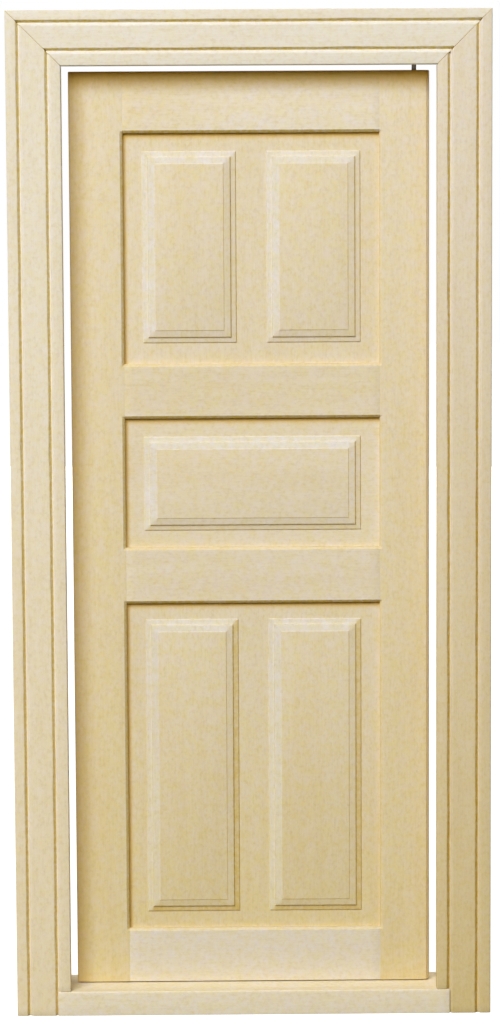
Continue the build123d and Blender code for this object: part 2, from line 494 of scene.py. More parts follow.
def blank(name: str) -> tuple[bpy.types.Material, NodeDesk]:
    """Starts a material.

    Args:
        name: Its name.

    Returns:
        The material and the desk for its nodes.
    """
    made = bpy.data.materials.new(name)
    made.use_nodes = True
    return made, NodeDesk(made.node_tree)


@dataclass(frozen=True)
class Basswood:
    """Bare sanded basswood, with its fibres along the board.

    Attributes:
        run: The way that the grain runs.
        near: Shade at the board's foot or left end.
        far: Shade at its top or right end.
        ends: Where along the run the near and far shades are reached, in millimetres.
        seed: Shifts the figure, so that no two boards share it.
        painted_shade_edges: Edges beside which painted shade darkens the wood, standing for the
            shadow that a part in
        front casts there, each as an axis, a place in millimetres, the reach from there and how
        strong it is.
        cloudiness: Strength of the yellow clouds.
        face_at: Where the face that carries the painted shade is along y, in millimetres.
        fade: How far behind that face the painted shade starts to fade and is gone, in millimetres.
        roughness: How rough it is between its marks.
        relief: Height of its bumps, in millimetres.
        sheen: Strength of its reflection.
    """

    run: Run
    near: Tone
    far: Tone
    ends: tuple[float, float]
    seed: int
    painted_shade_edges: tuple[tuple[int, float, float, float], ...] = ()
    cloudiness: float = 1.0
    face_at: float = 0.0
    fade: tuple[float, float] = (0.5, 1.1)
    roughness: float = 0.74
    relief: float = 0.05
    sheen: float = 0.25

    def painted_shade_share(self, desk: NodeDesk, spot: Wire) -> Wire | float:
        """How strong the painted shade is beside its shaded edges, where other parts cast their
        shadows.

        Each edge gives its strength at the edge itself, falling smoothly to 0 at its reach. What
        several edges leave bright is multiplied. The whole fades out behind the face.

        Args:
            desk: Where the nodes go.
            spot: The place on the piece, in metres.

        Returns:
            A share from 0 to 1.
        """
        if not self.painted_shade_edges:
            return 0.0
        bright: Wire | float = 1.0
        for axis, at, reach, strength in self.painted_shade_edges:
            shade = desk.along(spot, axis).ramp((at + reach) * METRE, at * METRE)
            bright = bright * (1.0 - strength * shade)
        dark_to, gone_at = ((self.face_at + behind) * METRE for behind in self.fade)
        return (1.0 - bright) * desk.along(spot, 1).ramp(gone_at, dark_to)

    def figure(self, desk: NodeDesk, spot: Wire, marks: Figure) -> Wire:
        """Lays one kind of mark over the board, as noise that is stretched along the grain.

        Args:
            desk: Where the nodes go.
            spot: The place on the piece, in metres.
            marks: The kind of mark.

        Returns:
            Values around 0.5.
        """
        across, along, detail, roughness = marks.value
        wide, long = across / METRE, along / METRE
        scale = (wide, wide, long) if self.run is Run.UPRIGHT else (long, wide, wide)
        shift = tuple(self.seed * step for step in SHIFTS)
        sockets = {"Vector": spot, "Location": shift, "Scale": scale}
        return desk.noise(desk.node("ShaderNodeMapping", {}, sockets), detail, roughness)

    def material(self, name: str) -> bpy.types.Material:
        """Builds the material.

        Args:
            name: The material's name.

        Returns:
            The finished material.
        """
        made, desk = blank(name)
        spot, end, fuzz_and_shading = desk.spot(), desk.mark("end_grain"), desk.mark("fuzz_and_shading")
        sway, bands, fibres, flecks, mottle, blush, tufts, rings = (
            self.figure(desk, spot, marks) for marks in Figure
        )
        axis = 2 if self.run is Run.UPRIGHT else 0
        low, high = (x * METRE for x in self.ends)
        length = desk.along(spot, axis).ramp(low, high, smooth=False)
        # Torn fibres, with painted shade on the walls and steps that face away from the lamp.
        torn = fuzz_and_shading.ramp(0.0, 1.0) * (0.45 + 0.55 * tufts.ramp(0.35, 0.65))
        layers = (
            (Tint.BANDS, (bands + sway).ramp(0.85, 1.25)),
            (Tint.CLOUDS, self.cloudiness * mottle.ramp(0.25, 0.75)),
            (Tint.BLUSH, blush.ramp(0.35, 0.75)),
            (Tint.FIBRES, fibres.ramp(0.40, 0.78)),
            (Tint.FLECKS, flecks.ramp(0.42, 0.80)),
            # Painted shade where other parts cast shadows, then painted highlight with freshly cut
            # paleness, then torn fibres with painted shade.
            (Tint.PAINTED_SHADE, self.painted_shade_share(desk, spot)),
            (Tint.FRESH_CUT_AND_HIGHLIGHT, (fuzz_and_shading * -1.0).ramp(0.0, 1.0)),
            (Tint.TORN, torn),
            (Tint.END_GRAIN, end * (0.55 + 0.3 * rings.ramp(0.35, 0.7))),
        )
        final = desk.blend(length, self.near.value, self.far.value)
        for tint, share in layers:
            final = desk.tinted(share, final, tint.value)
        rough = self.roughness + 0.14 * fibres + 0.08 * torn
        height = 0.6 * fibres + 0.25 * flecks + 0.5 * torn
        sockets = {"Strength": 0.35, "Distance": self.relief * METRE, "Height": height}
        bump = desk.node("ShaderNodeBump", {}, sockets)
        sockets = {"Base Color": final, "Roughness": rough, "Normal": bump}
        sockets["Specular IOR Level"] = self.sheen
        shader = desk.node("ShaderNodeBsdfPrincipled", {}, sockets)
        desk.node("ShaderNodeOutputMaterial", {}, {"Surface": shader})
        return made


@dataclass(frozen=True)
class DrawnWire:
    """Dull drawn steel, as a hinge pin is made of.

    Attributes:
        colour: Colour of the bare metal.
        tarnish: Colour of its specks.
        drawing: Cycles of the lines along the wire in a metre, along x, y and z.
        speckling: The same of the specks.
        relief: Height of the lines, in millimetres.
    """

    colour: Colour = (0.20, 0.17, 0.15)
    tarnish: Colour = (0.07, 0.05, 0.04)
    drawing: Place = (16000.0, 16000.0, 500.0)
    speckling: Place = (2500.0, 2500.0, 2500.0)
    relief: float = 0.01

    def material(self, name: str) -> bpy.types.Material:
        """Builds the material: dull metal with fine lines along the wire and specks of tarnish.

        Args:
            name: The material's name.

        Returns:
            The finished material.
        """
        made, desk = blank(name)
        spot = desk.spot()
        lines_at, specks_at = (
            desk.node("ShaderNodeMapping", {}, {"Vector": spot, "Scale": scale})
            for scale in (self.drawing, self.speckling)
        )
        lines = desk.noise(lines_at, 2.0)
        specks = desk.noise(specks_at, 3.0, 0.6).ramp(0.5, 0.75)
        colour = desk.blend(specks, self.colour, self.tarnish)
        sockets = {"Strength": 0.3, "Distance": self.relief * METRE, "Height": lines}
        bump = desk.node("ShaderNodeBump", {}, sockets)
        shader = desk.node(
            "ShaderNodeBsdfPrincipled",
            {},
            {
                "Base Color": colour,
                "Metallic": 1.0 - 0.5 * specks,
                "Roughness": 0.36 + 0.2 * lines + 0.2 * specks,
                "Normal": bump,
            },
        )
        desk.node("ShaderNodeOutputMaterial", {}, {"Surface": shader})
        return made


def dress(shape: Shape, node: str, body: str, finish: Basswood | DrawnWire) -> None:
    """Makes a piece that stands for a CAD node, and gives it its finish.

    Args:
        shape: The piece's surface.
        node: The CAD node that it stands for.
        body: The CAD body that it moves with.
        finish: What it is made of.
    """
    made = shape.piece(f"{node}_dressed")
    made.data.materials.append(finish.material(f"{node}_finish"))
    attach(made, body)
    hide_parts(node)
    LOG.info("%s: %d faces", made.name, len(made.data.polygons))


def keep(node: str, finish: Basswood) -> None:
    """Keeps a CAD node's own shape, and gives it its finish.

    Args:
        node: The CAD node.
        finish: What it is made of.
    """
    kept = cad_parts[node]
    kept.material_slots[0].material = finish.material(f"{node}_finish")
    LOG.info("%s: kept from the CAD", kept.name)


@dataclass
class Sill:
    """The top of the threshold: level under the casing, then rising to the leaf's face.

    Attributes:
        rise: How much higher it is under the leaf than under the casing.
        room: The threshold's room.
        jamb: A side jamb's, where the slope starts.
        leaf: The leaf's, where it ends.
    """

    rise: float = 0.45
    room: Room = field(default_factory=lambda: Room.of("threshold"))
    jamb: Room = field(default_factory=lambda: Room.of("jamb_left"))
    leaf: Room = field(default_factory=lambda: Room.of("latch_stile"))

    @property
    def folds(self) -> tuple[float, float]:
        """How far back the slope starts and ends."""
        return self.jamb.low[1], self.leaf.low[1]

    @property
    def front(self) -> float:
        """Height of the level front."""
        return self.room.high[2] - self.rise

    def height(self, y: Array) -> Array:
        """Height of the top at each distance back."""
        return np.interp(y, self.folds, (self.front, self.room.high[2]))


@dataclass
class Casing:
    """The flat moulding round the front: two mitred legs and a head, with two V-grooves in each.

    Attributes:
        outer_band: Distance from a leg's outer edge to the middle of its outer groove.
        head_bands: Distances from the head's top edge to the middles of its grooves.
        groove_width: Width of a groove at the face.
        groove_depth: Depth of a groove.
        arris: Radius of the long arrises.
        mitre_ease: How far the arrises of the mitres are sanded off.
        notch_gap: Room between a leg's notch and the end of the threshold.
        wander: How far a groove's edges stray.
        torn: Fuzz of the grooves' walls that face away from the lamp: torn fibres with painted shade.
        left_torn_and_shaded: The same on the left leg.
        fresh_and_highlight: Fuzz of the walls that face the lamp: a clean pale cut with painted
            highlight.
        mitre_fuzz: Fuzz along the mitres.
        edge_fuzz: Share of a wall's fuzz that its upper edge has.
        lip: How far beside a groove its fuzz fades out.
        crisp: Radius of corners that don't show.
        groove_edge: Radius of a groove's upper edges.
        groove_bottom: Radius at its bottom.
        back_arris: Radius of the arrises at the back.
        step: Distance between stations along a board.
        leg_clouds: Cloudiness of the legs.
        head_clouds: Cloudiness of the head.
        left: The left leg's room.
        head: The head's room.
        sill: The top of the threshold, which the legs are notched round.
    """

    outer_band: float = 2.5
    head_bands: tuple[float, float] = (2.35, 7.65)
    groove_width: float = 0.9
    groove_depth: float = 0.5
    arris: float = 0.3
    mitre_ease: float = 0.12
    notch_gap: float = 0.02
    wander: float = 0.05
    torn: float = 1.0
    left_torn_and_shaded: float = 0.8
    fresh_and_highlight: float = -0.6
    mitre_fuzz: float = 0.9
    edge_fuzz: float = 0.8
    lip: float = 0.2
    crisp: float = 0.02
    groove_edge: float = 0.06
    groove_bottom: float = 0.05
    back_arris: float = 0.1
    step: float = 1.4
    leg_clouds: float = 0.65
    head_clouds: float = 0.5
    left: Room = field(default_factory=lambda: Room.of("casing_left_leg"))
    head: Room = field(default_factory=lambda: Room.of("casing_head"))
    sill: Sill = field(default_factory=Sill)

    def profile(
        self, bands: tuple[float, float], outer: float, inner: float
    ) -> tuple[Array, Array, Array]:
        """The moulding's section as distances from its outer edge and depths below its face.

        It is flat, and falls in a straight line from each edge of a groove to its middle.

        Args:
            bands: Distances of the grooves' middles from the outer edge.
            outer: Fuzz of the grooves' outer walls.
            inner: Fuzz of their inner walls.

        Returns:
            The ring's points as (distance, depth), their fuzz, and the step of a notched foot that
            they are on.
        """
        width = self.left.high[0] - self.left.low[0]
        thick = self.left.high[1] - self.left.low[1]
        half, deep, gap = self.groove_width / 2, self.groove_depth, self.notch_gap
        rows = [(0, 0, self.arris, 0, 0)]
        for groove, level in zip(bands, (0, 1)):
            rows += [
                (groove - half - self.lip, 0, self.crisp, 0, 0),
                (groove - half, 0, self.groove_edge, self.edge_fuzz * outer, 0),
                (groove - 2 * gap, deep, self.groove_bottom, outer, 0),
                (groove + gap, deep, self.groove_bottom, inner, level),
                (groove + half, 0, self.groove_edge, self.edge_fuzz * inner, level),
                (groove + half + self.lip, 0, self.crisp, 0, level),
            ]
        notch = bands[1]
        rows += [
            (width, 0, self.arris, 0, 1),
            (width, thick, self.back_arris, 0, 1),
            (notch + gap, thick, gap / 4, 0, 1),
            (notch - 2 * gap, thick, gap / 4, 0, 0),
            (0, thick, self.back_arris, 0, 0),
        ]
        table = np.array(rows, float)
        ring = eased(table[:, :2], table[:, 2])
        steps = len(ring) // len(table)
        return ring, np.repeat(table[:, 3], steps), np.repeat(table[:, 4], steps).astype(int)

    def leg(self, side: int) -> Shape:
        """A leg, mitred at the top and notched round the threshold.

        Args:
            side: -1 for the left leg, or 1 for the right one.

        Returns:
            The surface.
        """
        reach = self.sill.room.low[0] - self.left.low[0]
        # Walls that face away from the lamp get torn marks with painted shade, and those that face it
        # get painted highlight.
        walls = (self.left_torn_and_shaded, self.fresh_and_highlight) if side < 0 else (self.fresh_and_highlight, self.torn)
        ring, fuzz_and_shading, level = self.profile((self.outer_band, reach), *walls)
        across, depth = ring.T
        section = np.stack([side * (-self.left.low[0] - across), self.left.low[1] + depth], -1)
        foot = np.where(level == 1, self.sill.front, 0.0)
        top = self.left.high[2] - across
        shares = spaced(top.max(), self.step)
        return Board(
            Run.UPRIGHT, section, foot, top, shares, self.mitre_ease, fuzz_and_shading, start_level=level,
            wander=self.wander, seed=5 + side, end_fuzz=self.mitre_fuzz,
        ).shape()

    def top(self) -> Shape:
        """The head, mitred at both ends.

        Returns:
            The surface.
        """
        # On the head, the upper walls, which face down, get the painted shade, and the lower ones get
        # the painted highlight.
        ring, fuzz_and_shading, _ = self.profile(self.head_bands, self.torn, self.fresh_and_highlight)
        across, depth = ring.T
        section = np.stack([self.head.low[1] + depth, self.head.high[2] - across], -1)
        reach = self.head.high[0] - across
        shares = spaced(2 * reach.max(), self.step)
        return Board(
            Run.LYING, section, -reach, reach, shares, self.mitre_ease, fuzz_and_shading,
            wander=self.wander, seed=9, end_fuzz=self.mitre_fuzz,
        ).shape()

    def build(self) -> None:
        """Makes and dresses the three boards."""
        tall, white = (0, self.left.high[2]), Tone.BLANCHED
        # Both legs are yellower at the foot, and the right leg is darker there too: partly the wood's
        # own tone, partly painted shade for the lamp's falloff towards the lower right.
        for side, node, near, far in (
            (-1, "casing_left_leg", Tone.BUTTER, white),
            (1, "casing_right_leg", Tone.HONEY, Tone.PALE),
        ):
            finish = Basswood(Run.UPRIGHT, near, far, tall, 11 + side, cloudiness=self.leg_clouds)
            dress(self.leg(side), node, "frame", finish)
        finish = Basswood(Run.LYING, white, white, (-40, 40), 14, cloudiness=self.head_clouds)
        dress(self.top(), "casing_head", "frame", finish)


@dataclass
class JambBox:
    """The box behind the casing: two side jambs, the head jamb in their rabbets, and the threshold.

    Attributes:
        arris: Radius of the boards' long arrises.
        ease: How far the arrises at their ends are sanded off.
        nosing: Radius of the threshold's front arris.
        sill_radii: Radii of its other corners, from the lower front one back and over the top.
        slit: Half the room that a stepped end's riser takes in the ring.
        step: Distance between stations along a side jamb.
        head: The head jamb's room, which the side jambs are rabbeted for.
        sill: The top of the threshold.
    """

    arris: float = 0.15
    ease: float = 0.08
    nosing: float = 0.35
    sill_radii: tuple[float, ...] = (0.12, 0.12, 0.2, 0.1, 0.1)
    slit: float = 0.01
    step: float = 6.0
    head: Room = field(default_factory=lambda: Room.of("head_jamb"))
    sill: Sill = field(default_factory=Sill)

    def side(self, node: str) -> Shape:
        """A side jamb, cut to the threshold's top at its foot and rabbeted for the head jamb.

        Args:
            node: The CAD node that it stands for.

        Returns:
            The surface.
        """
        room = Room.of(node)
        way = np.sign(room.low[0] + room.high[0])
        inner, outer = sorted((abs(room.low[0]), abs(room.high[0])))
        rabbet, front, back = self.head.high[0], room.low[1], room.high[1]
        fold, slit = self.sill.folds[1], self.slit
        rows = [
            (inner, front, self.arris, 0, 0),
            (rabbet - slit, front, slit / 2, 0, 0),
            (rabbet + slit, front, slit / 2, 1, 0),
            (outer, front, self.arris, 1, 0),
            (outer, fold - slit, slit / 2, 1, 0),
            (outer, fold + slit, slit / 2, 1, 1),
            (outer, back, self.arris, 1, 1),
            (rabbet + slit, back, slit / 2, 1, 1),
            (rabbet - slit, back, slit / 2, 0, 1),
            (inner, back, self.arris, 0, 1),
            (inner, fold + slit, slit / 2, 0, 1),
            (inner, fold - slit, slit / 2, 0, 0),
        ]
        table = np.array(rows, float)
        ring = eased(table[:, :2], table[:, 2])
        top_level, foot_level = (
            np.repeat(table[:, column], len(ring) // len(table)).astype(int) for column in (3, 4)
        )
        foot = self.sill.height(ring[:, 1])
        top = np.where(top_level == 1, room.high[2], self.head.low[2])
        shares = spaced(top.max() - foot.min(), self.step)
        return Board(
            Run.UPRIGHT, ring * (way, 1), foot, top, shares, self.ease,
            start_level=foot_level, finish_level=top_level,
        ).shape()

    def threshold(self) -> Shape:
        """The threshold, with a rounded nosing.

        Returns:
            The surface.
        """
        (left, front, low), (right, back, high) = self.sill.room.low, self.sill.room.high
        jamb, leaf = self.sill.folds
        level = self.sill.front
        lower = [(front, low), (back, low)]
        upper = [(back, high), (leaf, high), (jamb, level), (front, level)]
        ring = eased(np.array(lower + upper), np.array([*self.sill_radii, self.nosing]), 4)
        return lying(ring, left, right, self.ease)

    def build(self) -> None:
        """Makes and dresses three of the boards, and keeps the CAD's head jamb with its bore."""
        for index, node in enumerate(("jamb_left", "jamb_right")):
            finish = Basswood(Run.UPRIGHT, Tone.STRAW, Tone.CREAM, (0, 190), 21 + index)
            dress(self.side(node), node, "frame", finish)
        keep("head_jamb", Basswood(Run.LYING, Tone.CREAM, Tone.CREAM, (-40, 40), 23))
        finish = Basswood(Run.LYING, Tone.SANDED, Tone.SANDED, (-38, 38), 24)
        dress(self.threshold(), "threshold", "frame", finish)


@dataclass
class Leaf:
    """The leaf's framing: two stiles and four rails, grooved and bevelled round three panels.

    Attributes:
        groove: Depth of the panel grooves in stiles and rails.
        tongue: How far the rails' stub tenons reach into the grooves.
        ground: Thickness of the tenons and of the panels' tongues.
        sticking_width: Width of the bevels round the panels.
        sticking_depth: Depth of the same bevels.
        arris: Radius of the latch side's arrises.
        hinge_arris: Radius of the hinge side's arrises, which are sanded rounder.
        rail_arris: Radius of the leaf's upper and lower arrises.
        crisp: Radius of corners that don't show.
        shoulder: Radius of a bevel's edges.
        ease: How far the arrises at the stiles' ends are sanded off.
        joint_ease: The same at the rails' shoulders.
        mitre_slack: How near to its end a bevel's inner point comes, as a share of its width.
        step: Distance between stations along a stile.
        halo: Width of the painted highlight, a pale band beside the bevels.
        halo_start: Share of that width at which it is palest.
        marks: Fuzz of a stile's inner edge, from the groove to the end of the pale band: torn fibres
            with painted shade in the groove and on the bevel, painted highlight in the pale band.
        latch_marks: Share of those marks that the latch stile has, whose inner edge faces away from
            the lamp.
        hinge_marks: Share that the hinge stile has, whose inner edge faces the lamp.
        rail_marks: How torn a rail's lower and upper edges are, with painted shade, most on the lower
            edge, which faces away from the lamp.
        rim_marks: Share of that at a bevel's outer edge.
        shade_under_head: How far painted shade reaches below the leaf's top, where the casing's head
            casts its shadow, and how strongly.
        shade_beside_leg: The same beside the left leg of the casing, whose shadow falls there.
        latch: The latch stile's room.
        hinge: The hinge stile's room.
        rails: The rails' rooms, from the bottom up.
    """

    groove: float = 1.8
    tongue: float = 1.6
    ground: float = 1.6
    sticking_width: float = 0.5
    sticking_depth: float = 0.45
    arris: float = 0.42
    hinge_arris: float = 1.5
    rail_arris: float = 0.25
    crisp: float = 0.02
    shoulder: float = 0.06
    ease: float = 0.15
    joint_ease: float = 0.012
    mitre_slack: float = 0.06
    step: float = 3.0
    halo: float = 0.35
    halo_start: float = 0.4
    marks: tuple[float, ...] = (1.0, 1.0, 0.9, 0.4, -1.0, 0.0)
    latch_marks: float = 0.85
    hinge_marks: float = 0.4
    rail_marks: tuple[float, float] = (1.0, 0.4)
    rim_marks: float = 0.8
    shade_under_head: tuple[float, float] = (-4.6, 1.0)
    shade_beside_leg: tuple[float, float] = (4.5, 0.42)
    latch: Room = field(default_factory=lambda: Room.of("latch_stile"))
    hinge: Room = field(default_factory=lambda: Room.of("hinge_stile"))
    rails: tuple[Room, ...] = field(
        default_factory=lambda: tuple(
            Room.of(node) for node in ("bottom_rail", "lock_rail", "upper_rail", "top_rail")
        )
    )

    @property
    def openings(self) -> Array:
        """The lowest and highest edge of each panel's opening, from the bottom up."""
        pairs = zip(self.rails, self.rails[1:])
        return np.array([(below.high[2], above.low[2]) for below, above in pairs])

    @property
    def middle(self) -> float:
        """The plane half-way through the leaf's thickness."""
        return (self.latch.low[1] + self.latch.high[1]) / 2

    def stile(self, room: Room, inward: int) -> Shape:
        """An upright, grooved down its inner edge and bevelled round each panel.

        Beyond a panel's opening the bevel of the rail runs on over the stile as far as the mitre.
        There share m, which grows from 0 at the opening's edge to 1 a bevel's width away, moves the
        bevel's inner points: they lie m widths from the edge and 1 - m depths below the face.

        Args:
            room: The stile's room.
            inward: Which way its inner edge looks, 1 right or -1 left.

        Returns:
            The surface.
        """
        low, high = room.low[2], room.high[2]
        wide, deep = self.sticking_width, self.sticking_depth
        edges = self.openings.ravel()
        corners_at = np.concatenate([edges, edges + wide * np.tile([-1.0, 1.0], len(edges) // 2)])
        even, odd = spaced(high - low, self.step), (corners_at - low) / (high - low)
        shares = np.unique(np.concatenate([even, odd]))
        z = low + shares * (high - low)
        outside = np.maximum(self.openings[:, 0] - z[:, None], z[:, None] - self.openings[:, 1])
        m = np.clip(outside.min(axis=1) / wide, 0.0, 1.0)
        width = room.high[0] - room.low[0]
        front, back, half = room.low[1], room.high[1], self.ground / 2
        near = np.clip(m, self.mitre_slack, 1 - self.mitre_slack) * wide
        fall = deep * (1 - m)
        slope = np.minimum(fall, deep * (1 - near / wide))
        one = np.ones_like(m)
        face = [
            (0 * one, self.middle - half * one, self.crisp),
            (0 * one, front + fall, self.crisp),
            (near, front + slope, self.crisp),
            (wide * one, front * one, self.shoulder),
            ((wide + self.halo_start * self.halo) * one, front * one, self.crisp),
            ((wide + self.halo) * one, front * one, self.crisp),
        ]
        mirrored = [(across, 2 * self.middle - y, radius) for across, y, radius in reversed(face)]
        groove = [
            (self.groove * one, (self.middle + half) * one, self.crisp),
            (self.groove * one, (self.middle - half) * one, self.crisp),
        ]
        latch_side = inward > 0
        arris = self.arris if latch_side else self.hinge_arris
        outer = [(width * one, front * one, arris), (width * one, back * one, arris)]
        rows = face + outer + mirrored + groove
        inner = room.high[0] if latch_side else room.low[0]
        corners = [np.stack([inner - inward * across, y], -1) for across, y, _ in rows]
        rings = eased(np.stack(corners, 1), np.array([radius for *_, radius in rows]))
        count = rings.shape[1]
        # Painted shade comes with the torn marks, strongest on the latch stile's edge, which faces
        # away from the lamp; the pale band is painted highlight.
        edge = np.array(self.marks) * (self.latch_marks if latch_side else self.hinge_marks)
        fuzz_and_shading = np.repeat(np.concatenate([edge, [0, 0], edge[::-1], [0, 0]]), count // len(rows))
        fuzz_and_shading = fuzz_and_shading * (1 - m)[:, None]
        start, finish = np.full(count, low), np.full(count, high)
        return Board(Run.UPRIGHT, rings, start, finish, shares, self.ease, fuzz_and_shading).shape()

    def rail(self, room: Room, below: bool, above: bool) -> Shape:
        """A cross piece between the stiles, with a stub tenon at each end.

        Args:
            room: The rail's room, tenons included.
            below: Whether a panel is below it.
            above: Whether a panel is above it.

        Returns:
            The surface.
        """
        wide, deep, half = self.sticking_width, self.sticking_depth, self.ground / 2
        front, back = self.latch.low[1], self.latch.high[1]

        def edge(panel: bool, z: float, way: int) -> list[tuple[float, float, float, float]]:
            """Half of the section's corners, from front to back along one long edge.

            Args:
                panel: Whether a panel is let into this edge.
                z: The edge's height.
                way: 1 for the rail's lower edge, or -1 for its upper one.

            Returns:
                For each corner its y, its z, its radius and its fuzz.
            """
            if not panel:
                return [(y, z, self.rail_arris, 0) for y in (front, back)]
            rim, halo = z + way * wide, way * self.halo
            # Torn marks with painted shade, most on the lower edge, and painted highlight in the pale
            # band beside the bevel.
            torn = self.rail_marks[0 if way > 0 else 1]
            face = [
                (front, rim + halo, self.crisp, 0),
                (front, rim + self.halo_start * halo, self.crisp, -torn),
                (front, rim, self.shoulder, self.rim_marks * torn),
                (front + deep, z, self.shoulder, torn),
                (self.middle - half, z, self.crisp, torn),
                (self.middle - half, z + way * self.groove, self.crisp, 0),
            ]
            return face + [(2 * self.middle - y, *others) for y, *others in reversed(face)]

        rows = edge(below, room.low[2], 1) + edge(above, room.high[2], -1)[::-1]
        table = np.array(rows, float)
        ring = eased(table[:, :2], table[:, 2])
        fuzz_and_shading = np.repeat(table[:, 3], len(ring) // len(table))
        left, right = self.latch.high[0], self.hinge.low[0]
        made = lying(ring, left, right, self.joint_ease, fuzz_and_shading)
        foot = room.low[2] + (self.groove if below else 0)
        top = room.high[2] - (self.groove if above else 0)
        near, far = self.middle - half, self.middle + half
        corners = np.array([(near, foot), (far, foot), (far, top), (near, top)])
        tenon = eased(corners, np.full(len(corners), self.crisp))
        for start, finish in ((left - self.tongue, left), (right, right + self.tongue)):
            made = made.joined(lying(tenon, start, finish, self.crisp))
        return made

    def build(self) -> None:
        """Makes and dresses the stiles and rails."""
        tall = (self.latch.low[2], self.latch.high[2])
        shade_under_head = ((2, tall[1], *self.shade_under_head),)
        shade_beside_leg = ((0, self.latch.low[0], *self.shade_beside_leg),)
        for room, inward, node, far, seed, edges in (
            (self.latch, 1, "latch_stile", Tone.CREAM, 31, shade_under_head + shade_beside_leg),
            (self.hinge, -1, "hinge_stile", Tone.ROSY, 32, shade_under_head),
        ):
            finish = Basswood(Run.UPRIGHT, Tone.STRAW, far, tall, seed, edges, face_at=room.low[1])
            dress(self.stile(room, inward), node, "leaf", finish)
        last = len(self.rails) - 1
        for index, (node, near, far) in enumerate(
            (
                ("bottom_rail", Tone.PALE, Tone.PALE),
                ("lock_rail", Tone.ROSY, Tone.ROSY),
                ("upper_rail", Tone.CREAM, Tone.CREAM),
                ("top_rail", Tone.CREAM, Tone.PALE),
            )
        ):
            shape = self.rail(self.rails[index], below=index > 0, above=index < last)
            finish = Basswood(
                Run.LYING, near, far, (-25, 0), 33 + index, shade_under_head, face_at=self.latch.low[1]
            )
            dress(shape, node, "leaf", finish)


